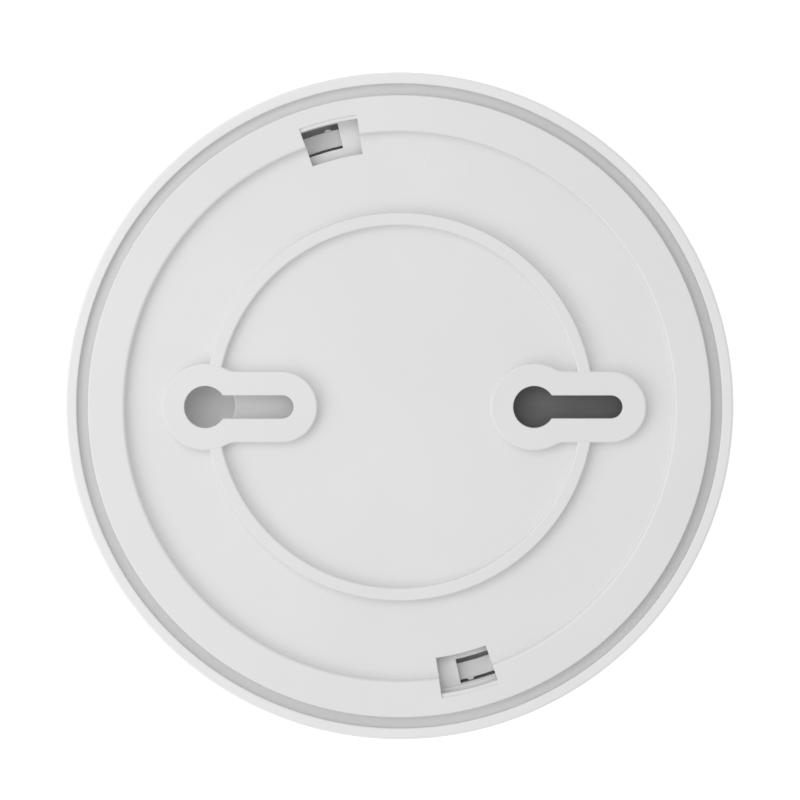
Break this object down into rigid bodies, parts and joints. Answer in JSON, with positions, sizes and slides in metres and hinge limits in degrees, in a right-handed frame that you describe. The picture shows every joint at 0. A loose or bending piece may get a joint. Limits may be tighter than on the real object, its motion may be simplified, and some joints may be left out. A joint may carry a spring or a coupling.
{
  "type": "smoke detector",
  "caption": "Round ceiling smoke detector with a twist-on mounting bracket, keyhole screw slots, side smoke inlets, a test button and a battery bay.",
  "frame": {"origin": "centre of the mounting bracket's back face, in the plane of the ceiling", "axes": "+Z out of the bracket's back towards the ceiling and along the bayonet axis; -Z is the room side with the test button; +X from the wide head hole of each keyhole along its slot"},
  "size_m": [0.122, 0.122, 0.0372],
  "materials": {
    "bracket_plastic": "satin moulded white ABS",
    "housing_plastic": "satin moulded white ABS",
    "button_plastic": "satin moulded white ABS",
    "board": "solder mask over glass-fibre laminate",
    "chamber_plastic": "matt black moulding",
    "screen_mesh": "fine woven steel mesh",
    "battery_jacket": "printed film over a steel can, left plain",
    "nickel": "nickel plate",
    "brass": "plain",
    "ceramic": "silvered piezo ceramic",
    "component_black": "moulded epoxy",
    "capacitor_sleeve": "shrink sleeve",
    "ferrite": "sintered",
    "clear_plastic": "clear moulded acrylic",
    "led_red": "tinted epoxy",
    "dark_lens": "tinted epoxy",
    "screw_steel": "zinc plated"
  },
  "bodies": {
    "base": {"mounting_bracket": "bracket_plastic"},
    "detector": {"rear_cover": "housing_plastic", "front_cover": "housing_plastic", "light_pipe": "clear_plastic", "circuit_board": "board", "board_screw_1": "screw_steel", "board_screw_2": "screw_steel", "board_screw_3": "screw_steel", "chamber_base": "chamber_plastic", "chamber_cap": "chamber_plastic", "insect_screen": "screen_mesh", "ir_emitter": "dark_lens", "photodiode": "dark_lens", "sounder_housing": "housing_plastic", "piezo_disc": "brass", "piezo_ceramic": "ceramic", "sounder_contact_centre": "nickel", "sounder_contact_edge": "nickel", "battery_body": "battery_jacket", "battery_terminal_pos": "nickel", "battery_terminal_neg": "nickel", "battery_contact_pos": "nickel", "battery_contact_neg": "nickel", "switch_body": "component_black", "microcontroller": "component_black", "sounder_driver": "component_black", "crystal": "nickel", "boost_coil": "ferrite", "capacitor": "capacitor_sleeve", "status_led": "led_red"},
    "button": {"test_button": "button_plastic"},
    "plunger": {"switch_plunger": "component_black"}
  },
  "joints": [
    {"name": "bayonet_twist", "type": "hinge", "parent": "base", "child": "detector", "pos_m": [0, 0, 0], "axis": [0, 0, 1], "range_deg": [-8, 0]},
    {"name": "button_press", "type": "slide", "parent": "detector", "child": "button", "axis": [0, 0, 1], "range_m": [0, 0.0008], "stiffness_N_per_m": 800, "springref_m": -0.0005},
    {"name": "switch_press", "type": "slide", "parent": "detector", "child": "plunger", "axis": [0, 0, 1], "range_m": [0, 0.0006]}
  ],
  "couplings": [
    {"joint": "switch_press", "follows": "button_press", "ratio": 0.7}
  ]
}
